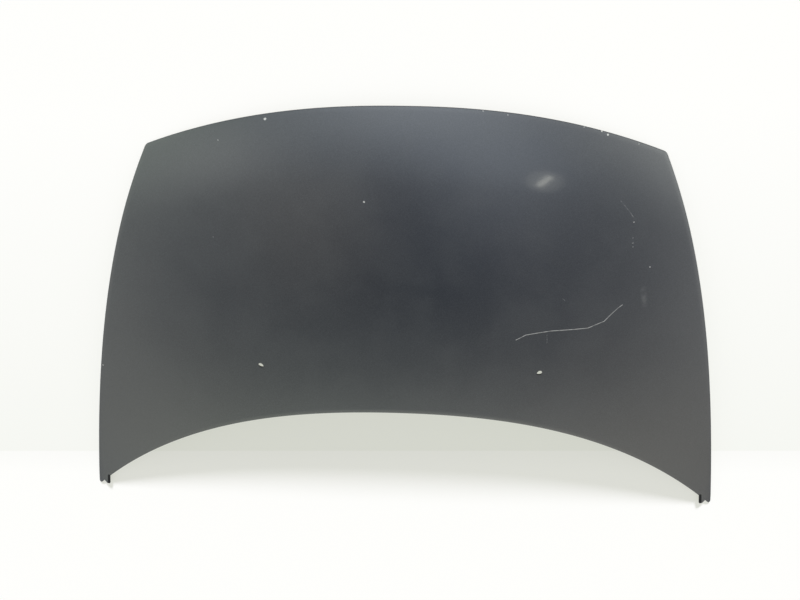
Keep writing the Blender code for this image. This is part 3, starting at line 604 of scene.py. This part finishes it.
def build_frame(paint):
    """Inner frame: both faces of the sheet, and the walls of its edge, openings and holes."""
    edge = frame_outline()
    feet = openings()
    rims = [inset(edge, d) for d in spread(RIM_FLAT, RIM_WALL, RIM_STATIONS)]
    walls = [inset(foot, d) for foot in feet for d in spread(0.0, BOND_WALL, WALL_STATIONS)]
    ends = [inset(foot, BOND_FLAT) for foot in feet]
    holes = [oval((x, y), r, r, 0, HOLE_SIDES) for x, y, r in floor_holes()]
    outer = inset(edge, RIM_EDGE)
    tris, flat = fill(outer, ends + holes, rims + walls, FRAME_STEP)
    z = frame_top(flat, edge, feet)
    height = {(float(x), float(y)): float(h) for (x, y), h in zip(flat, z)}
    shell = Shell()
    for tri in tris:
        corners = [(flat[i][0], flat[i][1], z[i]) for i in tri]
        shell.face(corners)
        shell.face([(x, y, h - FRAME) for x, y, h in corners])
    for loop in [outer] + ends + holes:
        top = [(x, y, height[(x, y)]) for x, y in loop]
        shell.strip(top, [(x, y, h - FRAME) for x, y, h in top])
    made = piece("frame", shell.verts, shell.faces, [paint])
    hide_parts("inner_frame")


# Materials

class Nodes:
    """Short names for making shader nodes."""

    def __init__(self, tree):
        self.tree = tree

    def add(self, kind, **settings):
        made = self.tree.nodes.new("ShaderNode" + kind)
        for name, value in settings.items():
            setattr(made, name, value)
        return made

    def put(self, socket, value):
        if isinstance(value, bpy.types.NodeSocket):
            self.tree.links.new(value, socket)
        elif value is not None:
            socket.default_value = value

    def math(self, operation, a, b=None, clamp=False):
        made = self.add("Math", operation=operation, use_clamp=clamp)
        for socket, value in zip(made.inputs, (a, b)):
            self.put(socket, value)
        return made.outputs[0]

    def vector(self, operation, a, b=None):
        made = self.add("VectorMath", operation=operation)
        self.put(made.inputs[0], a)
        self.put(made.inputs[1], b)
        number = operation in ("DISTANCE", "DOT_PRODUCT")
        return made.outputs["Value" if number else "Vector"]

    def ramp(self, value, low, high, to_low=0.0, to_high=1.0, smooth=True):
        made = self.add("MapRange", interpolation_type="SMOOTHSTEP" if smooth else "LINEAR")
        for socket, v in zip(made.inputs, (value, low, high, to_low, to_high)):
            self.put(socket, v)
        return made.outputs[0]

    def noise(self, vector, scale, detail=2.0, rough=0.5, colour=False):
        made = self.add("TexNoise")
        self.put(made.inputs["Vector"], vector)
        made.inputs["Scale"].default_value = scale
        made.inputs["Detail"].default_value = detail
        made.inputs["Roughness"].default_value = rough
        return made.outputs["Color" if colour else "Fac"]

    def cells(self, vector, scale):
        made = self.add("TexVoronoi")
        self.put(made.inputs["Vector"], vector)
        made.inputs["Scale"].default_value = scale
        return made

    def mix(self, share, a, b):
        made = self.add("Mix", data_type="RGBA")
        self.put(made.inputs[0], share)
        self.put(made.inputs[6], a)
        self.put(made.inputs[7], b)
        return made.outputs[2]

    def line(self, plan, a, b):
        """Distance in plan to the stretch from a to b."""
        run = (b[0] - a[0], b[1] - a[1], 0.0)
        away = self.vector("SUBTRACT", plan, (a[0], a[1], 0.0))
        share = self.math("MULTIPLY", self.vector("DOT_PRODUCT", away, run),
                          1 / (run[0] ** 2 + run[1] ** 2), clamp=True)
        along = self.add("VectorMath", operation="SCALE")
        self.put(along.inputs[0], run)
        self.put(along.inputs["Scale"], share)
        return self.vector("DISTANCE", away, along.outputs[0])

    def nearest(self, distances):
        least = distances[0]
        for each in distances[1:]:
            least = self.math("MINIMUM", least, each)
        return least

    def bump(self, height, strength, depth):
        made = self.add("Bump")
        made.inputs["Strength"].default_value = strength
        made.inputs["Distance"].default_value = depth
        self.put(made.inputs["Height"], height)
        return made.outputs[0]


def new_material(name):
    """A material with one shader, its node helper, and the place on the object."""
    made = bpy.data.materials.new(name)
    made.use_nodes = True
    tree = made.node_tree
    tree.nodes.clear()
    n = Nodes(tree)
    shader = n.add("BsdfPrincipled")
    out = n.add("OutputMaterial")
    tree.links.new(shader.outputs[0], out.inputs[0])
    place = n.add("TexCoord").outputs["Object"]
    return made, n, shader, place


PAINT_DARK = (0.0150, 0.0160, 0.0185, 1)
PAINT_LIGHT = (0.0190, 0.0202, 0.0225, 1)
FLAKE = (0.060, 0.063, 0.070, 1)
DUST = (0.30, 0.30, 0.28, 1)
BARE = (0.52, 0.52, 0.50, 1)
# The next colour is painted shade, for the dark strip along the hooks' folds
FOLD_SHADE_COLOUR = (0.004, 0.004, 0.005, 1)
SPOT_COLOUR = (0.006, 0.005, 0.005, 1)

# How much of each layer shows
FLAKE_SHARE = 0.35
HAZE_SHARE = 0.020
CHIP_SHARE = 0.75
FOLD_SHADE_SHARE = 0.95
SPOT_SHARE = 0.5
PAINT_METALLIC = 0.55
COAT_ROUGHNESS = 0.08
COAT_IOR = 1.5

# Size of the paint's patterns, as noise scales
CLOUD_SCALE = 2.2
FLAKE_SCALE = 1400.0
HAZE_SCALE = 9.0
PEEL_SCALE = 420.0
WAVE_SCALE = 5.0

# Wear in the photograph: places in plan, in metres. Chips and spots end with their radius.
SCRATCH = [(0.2288, 0.0007), (0.2477, 0.0111), (0.2710, 0.0151), (0.2963, 0.0189), (0.3395, 0.0212),
           (0.3690, 0.0235), (0.3842, 0.0302), (0.3996, 0.0364), (0.4130, 0.0512), (0.4248, 0.0631),
           (0.4330, 0.0693)]
FAINT_SCRATCH = [(0.4115, 0.2706), (0.4283, 0.2526), (0.4392, 0.2386)]
STREAKS = [((0.2890, 0.0106), (0.2903, -0.0063)), ((0.3148, 0.0843), (0.3190, 0.0802))]
SMUDGE = ((0.4715, 0.0985), (0.4775, 0.0685))
CHIPS = [(-0.2556, 0.4099, 0.0024), (-0.0688, 0.2670, 0.0019), (0.1472, 0.4300, 0.0010),
         (0.1930, 0.4234, 0.0008), (0.3341, 0.4024, 0.0008), (0.3681, 0.3951, 0.0016),
         (0.3797, 0.3888, 0.0018), (0.4397, 0.3714, 0.0008), (-0.6343, -0.1105, 0.0013),
         (0.4399, 0.2311, 0.0011), (0.4408, 0.2008, 0.0007), (0.4417, 0.1912, 0.0007),
         (0.4424, 0.1835, 0.0007), (0.4800, 0.1434, 0.0012),
         (-0.3468, 0.3700, 0.0008), (-0.3631, 0.1896, 0.0006)]
SPOTS = [(0.5349, 0.0869, 0.0012), (0.0735, 0.1770, 0.0020), (-0.0244, 0.0998, 0.0012),
         (0.2919, 0.1614, 0.0022), (-0.1804, 0.2584, 0.0014), (-0.0652, 0.0293, 0.0012)]

# The tongues' hooks are folded down along their inner side, and the shade there is painted as a
# dark strip without gloss
FOLD_SHADE_START_X = HALF_WIDTH - STEP_IN + 0.0020
FOLD_SHADE_END_X = HALF_WIDTH - HOOK[1][0] + 0.0010
FOLD_SHADE_Y = STEP_Y + SETTLE.y
FOLD_SHADE_LINES = [((side * FOLD_SHADE_START_X, FOLD_SHADE_Y), (side * FOLD_SHADE_END_X, FOLD_SHADE_Y - HOOK[1][1]))
         for side in (1, -1)]


def points_mask(n, plan, points):
    """One at the given points, out to each one's radius with a ragged rim."""
    masks = [n.ramp(n.vector("DISTANCE", plan, (x, y, 0.0)), r * 0.6, r * 1.2, 1.0, 0.0)
             for x, y, r in points]
    most = masks[0]
    for each in masks[1:]:
        most = n.math("MAXIMUM", most, each)
    return most


def paint_material():
    """Dark metallic paint under clear coat, with its dust, scratches and chips, and painted shade
    along the tongues' folded hooks.
    """
    made, n, shader, place = new_material("car_paint")
    plan = n.vector("MULTIPLY", place, (1.0, 1.0, 0.0))
    cloud = n.noise(place, CLOUD_SCALE, 3.0)
    base = n.mix(cloud, PAINT_DARK, PAINT_LIGHT)
    flake = n.cells(place, FLAKE_SCALE)
    spark = n.ramp(n.noise(flake.outputs["Color"], 7.0, 0.0), 0.35, 0.75)
    base = n.mix(n.math("MULTIPLY", spark, FLAKE_SHARE), base, FLAKE)
    haze = n.ramp(n.noise(place, HAZE_SCALE, 6.0, 0.6), 0.35, 0.75)
    base = n.mix(n.math("MULTIPLY", haze, HAZE_SHARE), base, DUST)
    shake = n.vector("SUBTRACT", n.noise(place, 260.0, 2.0, colour=True), (0.5, 0.5, 0.5))
    shaken = n.vector("ADD", plan, n.vector("MULTIPLY", shake, (0.0022, 0.0022, 0.0)))
    uneven = n.ramp(n.noise(place, 120.0, 3.0), 0.25, 0.60, 0.45, 1.0)
    long = n.nearest([n.line(plan, a, b) for a, b in zip(SCRATCH, SCRATCH[1:])])
    scratch = n.math("MULTIPLY", n.ramp(long, 0.0001, 0.0010, 0.75, 0.0), uneven)
    short = n.nearest([n.line(plan, a, b) for a, b in zip(FAINT_SCRATCH, FAINT_SCRATCH[1:])]
                      + [n.line(shaken, a, b) for a, b in STREAKS])
    faint = n.math("MULTIPLY", n.ramp(short, 0.0002, 0.0010, 0.20, 0.0),
                   n.ramp(n.noise(place, 160.0, 2.0), 0.42, 0.62, 0.15, 1.0))
    smudge = n.math("MULTIPLY", n.ramp(n.line(shaken, *SMUDGE), 0.0, 0.0085, 0.08, 0.0),
                    n.ramp(n.noise(place, 75.0, 4.0), 0.30, 0.70))
    chips = n.math("MULTIPLY", points_mask(n, shaken, CHIPS), CHIP_SHARE)
    worn = n.nearest([n.math("ADD", n.math("ADD", scratch, faint),
                             n.math("ADD", smudge, chips)), 1.0])
    base = n.mix(worn, base, BARE)
    # Painted shade: a dark strip with less gloss along each hook's fold stands in for its shadow
    fold_shade = n.ramp(n.nearest([n.line(plan, a, b) for a, b in FOLD_SHADE_LINES]), 0.0030, 0.0048, 1.0, 0.0)
    fold_shade_share = n.math("MULTIPLY", fold_shade, FOLD_SHADE_SHARE)
    base = n.mix(fold_shade_share, base, FOLD_SHADE_COLOUR)
    spot_share = n.math("MULTIPLY", points_mask(n, shaken, SPOTS), SPOT_SHARE)
    base = n.mix(spot_share, base, SPOT_COLOUR)
    n.put(shader.inputs["Base Color"], base)
    spots_and_fold_shade = n.math("MAXIMUM", spot_share, fold_shade_share)
    whole = n.math("SUBTRACT", 1.0, n.math("MAXIMUM", worn, spots_and_fold_shade))
    n.put(shader.inputs["Metallic"], n.math("MULTIPLY", whole, PAINT_METALLIC))
    n.put(shader.inputs["Roughness"], n.ramp(haze, 0.0, 1.0, 0.36, 0.46))
    n.put(shader.inputs["Coat Weight"], whole)
    n.put(shader.inputs["Specular IOR Level"], n.ramp(fold_shade, 0.0, 1.0, 0.5, 0.1))
    shader.inputs["Coat Roughness"].default_value = COAT_ROUGHNESS
    shader.inputs["Coat IOR"].default_value = COAT_IOR
    peel = n.noise(place, PEEL_SCALE, 2.0)
    wave = n.noise(place, WAVE_SCALE, 1.0)
    rise = n.math("ADD", n.math("MULTIPLY", peel, 0.02), wave)
    n.put(shader.inputs["Coat Normal"], n.bump(rise, 0.25, 0.002))
    n.put(shader.inputs["Normal"], n.bump(worn, 0.3, 0.0003))
    return made


def inner_paint_material():
    """Body colour without full gloss, slightly dirty."""
    made, n, shader, place = new_material("body_colour_inside")
    cloud = n.noise(place, 4.0, 4.0)
    base = n.mix(cloud, (0.018, 0.019, 0.021, 1), (0.026, 0.027, 0.029, 1))
    dirt = n.ramp(n.noise(place, 22.0, 8.0, 0.65), 0.45, 0.80)
    base = n.mix(n.math("MULTIPLY", dirt, 0.10), base, (0.16, 0.15, 0.13, 1))
    n.put(shader.inputs["Base Color"], base)
    shader.inputs["Metallic"].default_value = 0.3
    n.put(shader.inputs["Roughness"], n.ramp(dirt, 0.0, 1.0, 0.42, 0.65))
    shader.inputs["Coat Weight"].default_value = 0.4
    shader.inputs["Coat Roughness"].default_value = 0.25
    n.put(shader.inputs["Normal"], n.bump(n.noise(place, 300.0, 3.0), 0.15, 0.0005))
    return made


def plain_material(name, dark, light, metallic, rough, grain, depth):
    """A surface with mottled colour and a fine grain."""
    made, n, shader, place = new_material(name)
    cloud = n.noise(place, 60.0, 5.0, 0.6)
    n.put(shader.inputs["Base Color"], n.mix(cloud, (*dark, 1), (*light, 1)))
    shader.inputs["Metallic"].default_value = metallic
    n.put(shader.inputs["Roughness"], n.ramp(cloud, 0.3, 0.7, rough[0], rough[1]))
    n.put(shader.inputs["Normal"], n.bump(n.noise(place, grain, 3.0), 0.3, depth))
    return made


# Stage

# The line between the floor's two tones, where painted shade as in a wall's corner is darkest: its
# place in y, and its slant
FLOOR_LINE = -0.3269
FLOOR_TURN = -0.03746
FLOOR_LINE_BLUR = 0.0015
FLOOR_GLOW = (0.570, 0.580, 0.510)
FLOOR_COLOUR = (0.43, 0.42, 0.475)
FLOOR_HALF = 12.0
# Beyond the line the floor starts at this painted shade and whitens over this length
BEYOND_SHADE_TONE = (0.928, 0.938, 0.915, 1)
BEYOND_LENGTH = 0.75
# On the near side painted shade dims it to this share over this length before the line
NEAR_SHADE_SHARE = 0.97
NEAR_LENGTH = 0.06


def floor_material():
    """Pale floor. It keeps its shadow, and seen directly it is near white, with painted shade
    darkening it on both sides of a line, as in a wall's corner.
    """
    made = bpy.data.materials.new("studio_floor")
    made.use_nodes = True
    tree = made.node_tree
    tree.nodes.clear()
    n = Nodes(tree)
    place = n.add("TexCoord").outputs["Object"]
    # Painted shade: the floor's colour and glow darken towards a line from both sides, as in a
    # wall's corner
    ahead = n.vector("DOT_PRODUCT", place, (FLOOR_TURN, 1.0, 0.0))
    back = n.ramp(ahead, FLOOR_LINE, FLOOR_LINE + BEYOND_LENGTH, smooth=False)
    beyond_shade = n.mix(back, BEYOND_SHADE_TONE, (1.0, 1.0, 1.0, 1))
    near = n.ramp(ahead, FLOOR_LINE - NEAR_LENGTH, FLOOR_LINE, 1.0, NEAR_SHADE_SHARE, smooth=False)
    side = n.ramp(ahead, FLOOR_LINE - FLOOR_LINE_BLUR, FLOOR_LINE + FLOOR_LINE_BLUR)
    corner_shade_tone = n.mix(side, near, beyond_shade)
    diffuse = n.add("BsdfDiffuse")
    n.put(diffuse.inputs["Color"], n.vector("MULTIPLY", corner_shade_tone, FLOOR_COLOUR))
    glow = n.add("Emission")
    n.put(glow.inputs["Color"], n.vector("MULTIPLY", corner_shade_tone, FLOOR_GLOW))
    path = n.add("LightPath")
    seen = n.math("MAXIMUM", n.math("MAXIMUM", path.outputs["Is Camera Ray"],
                                    path.outputs["Is Glossy Ray"]),
                  path.outputs["Is Transmission Ray"])
    n.put(glow.inputs["Strength"], seen)
    both = n.add("AddShader")
    tree.links.new(diffuse.outputs[0], both.inputs[0])
    tree.links.new(glow.outputs[0], both.inputs[1])
    tree.links.new(both.outputs[0], n.add("OutputMaterial").inputs[0])
    return made


def build_stage():
    """One large level floor under the part."""
    data = bpy.data.meshes.new("floor")
    half = FLOOR_HALF
    data.from_pydata([(-half, -half, 0), (half, -half, 0), (half, half, 0), (-half, half, 0)],
                     [], [(0, 1, 2, 3)])
    floor = bpy.data.objects.new("floor", data)
    floor.data.materials.append(floor_material())
    bpy.context.scene.collection.objects.link(floor)


# World: what lights the matt surfaces, what the camera sees, and what the paint mirrors
EVEN_LIGHT = 0.35
SEEN_WORLD = (0.98, 0.98, 0.97, 1)
BASE_LEVEL = (0.15, 0.19, 0.28)

# Soft lights that the paint mirrors: towards x, y and z, how tight, and how bright.
# The last but one shines from below onto the underside, and the last one is a darker
# patch overhead.
SOFT_LIGHTS = [
    ((-0.75, 0.45, 0.48), 14.0, (1.70, 1.95, 1.60)),
    ((0.0, 0.62, 0.78), 14.0, (2.45, 2.65, 2.80)),
    ((0.75, 0.45, 0.48), 14.0, (3.05, 3.15, 2.95)),
    ((-0.50, 0.25, 0.83), 45.0, (1.05, 1.05, 1.00)),
    ((0.20, 0.25, 0.95), 45.0, (0.55, 0.65, 0.80)),
    ((-0.85, -0.10, 0.52), 14.0, (1.10, 1.10, 1.00)),
    ((0.85, -0.10, 0.52), 14.0, (1.35, 1.35, 1.30)),
    ((-0.25, 0.0, 0.97), 40.0, (0.55, 0.50, 0.40)),
    ((0.20, 0.05, 0.98), 40.0, (0.43, 0.43, 0.43)),
    ((-0.60, -0.60, 0.53), 14.0, (0.72, 0.70, 0.56)),
    ((-0.20, -0.75, 0.63), 14.0, (1.15, 1.25, 1.00)),
    ((0.20, -0.75, 0.63), 14.0, (1.28, 1.25, 1.10)),
    ((0.60, -0.60, 0.53), 14.0, (0.60, 0.55, 0.40)),
    ((0.0, 0.98, 0.17), 12.0, (1.2, 1.2, 1.2)),
    ((0.0, 0.0, -1.0), 3.0, (0.6, 0.6, 0.6)),
    ((0.0, -0.07, 1.0), 60.0, (-0.38, -0.38, -0.36)),
]

KEY_PLACE = (0.1, 1.9, 0.79)
KEY_ENERGY = 5.26
KEY_ANGLE = 8
KEY_COLOUR = (1.0, 1.0, 0.985)

GLINT_PLACE = (0.762, 0.565, 1.552)
GLINT_TARGET = (0.265, 0.308, 0.053)
GLINT_TURN = -62
GLINT_COLOUR = (1.0, 1.0, 0.88)
# Name, shape, size and power
GLINT_LAMPS = [("glint", "RECTANGLE", (0.150, 0.036), 0.105),
               ("halo", "ELLIPSE", (0.260, 0.220), 0.100)]

# Camera fitted to the photograph: angles in degrees, shift in metres, lengths in pixels
CAMERA_YAW = -2.508
CAMERA_ROLL = -0.386
CAMERA_PITCH = 22.746
CAMERA_SHIFT = (0.0031, -0.0268, -1.5783)
FOCAL_LENGTH = 760
IMAGE_WIDTH = 800
SENSOR_WIDTH = 36.0


def build_world():
    """Soft studio: even for matt surfaces, white when seen, and the soft lights in the paint."""
    world = bpy.data.worlds.new("studio")
    bpy.context.scene.world = world
    world.use_nodes = True
    world.cycles.sampling_method = "NONE"
    tree = world.node_tree
    tree.nodes.clear()
    n = Nodes(tree)
    way = n.vector("NORMALIZE", n.add("TexCoord").outputs["Generated"])
    level = n.add("CombineXYZ")
    for socket, value in zip(level.inputs, BASE_LEVEL):
        socket.default_value = value
    level = level.outputs[0]
    for towards, tight, bright in SOFT_LIGHTS:
        near = n.math("SUBTRACT", n.vector("DOT_PRODUCT", way, Vector(towards).normalized()), 1.0)
        fall = n.math("EXPONENT", n.math("MULTIPLY", near, tight))
        glow = n.add("VectorMath", operation="SCALE")
        glow.inputs[0].default_value = bright
        n.put(glow.inputs["Scale"], fall)
        level = n.vector("ADD", level, glow.outputs[0])
    path = n.add("LightPath")
    glossy = n.add("Background")
    n.put(glossy.inputs["Color"], level)
    even = n.add("Background")
    even.inputs["Color"].default_value = (1, 1, 1, 1)
    even.inputs["Strength"].default_value = EVEN_LIGHT
    white = n.add("Background")
    white.inputs["Color"].default_value = SEEN_WORLD
    first = n.add("MixShader")
    n.put(first.inputs[0], path.outputs["Is Glossy Ray"])
    tree.links.new(even.outputs[0], first.inputs[1])
    tree.links.new(glossy.outputs[0], first.inputs[2])
    second = n.add("MixShader")
    n.put(second.inputs[0], path.outputs["Is Camera Ray"])
    tree.links.new(first.outputs[0], second.inputs[1])
    tree.links.new(white.outputs[0], second.inputs[2])
    tree.links.new(second.outputs[0], n.add("OutputWorld").inputs[0])


def aimed(made, place, target, turn=0.0):
    """Put a lamp at a place, aimed at a target, and turned about its own axis."""
    ahead = (Vector(target) - Vector(place)).normalized()
    made.matrix_world = (Matrix.Translation(place)
                         @ ahead.to_track_quat("-Z", "Y").to_matrix().to_4x4()
                         @ Matrix.Rotation(turn, 4, "Z"))
    bpy.context.scene.collection.objects.link(made)


def add_key():
    """Broad soft light from the front edge's side, which gives the floor its shadow."""
    lamp = bpy.data.lights.new("key", "SUN")
    lamp.energy = KEY_ENERGY
    lamp.angle = math.radians(KEY_ANGLE)
    lamp.color = KEY_COLOUR
    made = bpy.data.objects.new("key", lamp)
    made.visible_glossy = False
    aimed(made, KEY_PLACE, (0.0, 0.0, 0.0))


def add_glint():
    """Small lamp that the paint mirrors as a short streak, with a dim halo behind it."""
    for name, shape, size, energy in GLINT_LAMPS:
        lamp = bpy.data.lights.new(name, "AREA")
        lamp.shape = shape
        lamp.size, lamp.size_y = size
        lamp.energy = energy
        lamp.color = GLINT_COLOUR
        made = bpy.data.objects.new(name, lamp)
        made.visible_camera = False
        aimed(made, GLINT_PLACE, GLINT_TARGET, math.radians(GLINT_TURN))


def add_camera():
    """Camera at the photograph's viewing angle."""
    turn = (Matrix.Rotation(math.radians(CAMERA_ROLL), 3, "Z")
            @ Matrix.Rotation(math.radians(CAMERA_PITCH), 3, "X")
            @ Matrix.Rotation(math.radians(CAMERA_YAW), 3, "Y"))
    back = turn.transposed()
    data = bpy.data.cameras.new("camera")
    data.sensor_width = SENSOR_WIDTH
    data.lens = SENSOR_WIDTH * FOCAL_LENGTH / IMAGE_WIDTH
    made = bpy.data.objects.new("camera", data)
    made.matrix_world = (Matrix.Translation(SETTLE - back @ Vector(CAMERA_SHIFT))
                         @ back.to_4x4())
    bpy.context.scene.collection.objects.link(made)
    bpy.context.scene.camera = made


paint = paint_material()
inside_paint = inner_paint_material()
build_skin(paint, inside_paint)
build_frame(inside_paint)
FINISHES = {
    "zinc": plain_material("zinc_plate", (0.30, 0.30, 0.28), (0.50, 0.50, 0.47), 1.0,
                           (0.30, 0.50), 500.0, 0.0003),
    "rubber": plain_material("black_rubber", (0.010, 0.010, 0.010), (0.022, 0.022, 0.021), 0.0,
                             (0.65, 0.85), 700.0, 0.0004),
    "plastic": plain_material("black_plastic", (0.014, 0.014, 0.015), (0.024, 0.024, 0.025), 0.0,
                              (0.42, 0.58), 900.0, 0.0002),
    "mastic": plain_material("grey_mastic", (0.075, 0.075, 0.070), (0.125, 0.125, 0.115), 0.0,
                             (0.75, 0.92), 350.0, 0.0008),
}
for part in frame["record"]["subparts"]:
    finish = FINISHES.get(part["material_slot"])
    if finish:
        for slot in frame["nodes"][part["node"]].material_slots:
            slot.material = finish
bpy.context.scene.view_settings.view_transform = "Standard"
add_camera()
build_stage()
build_world()
add_key()
add_glint()
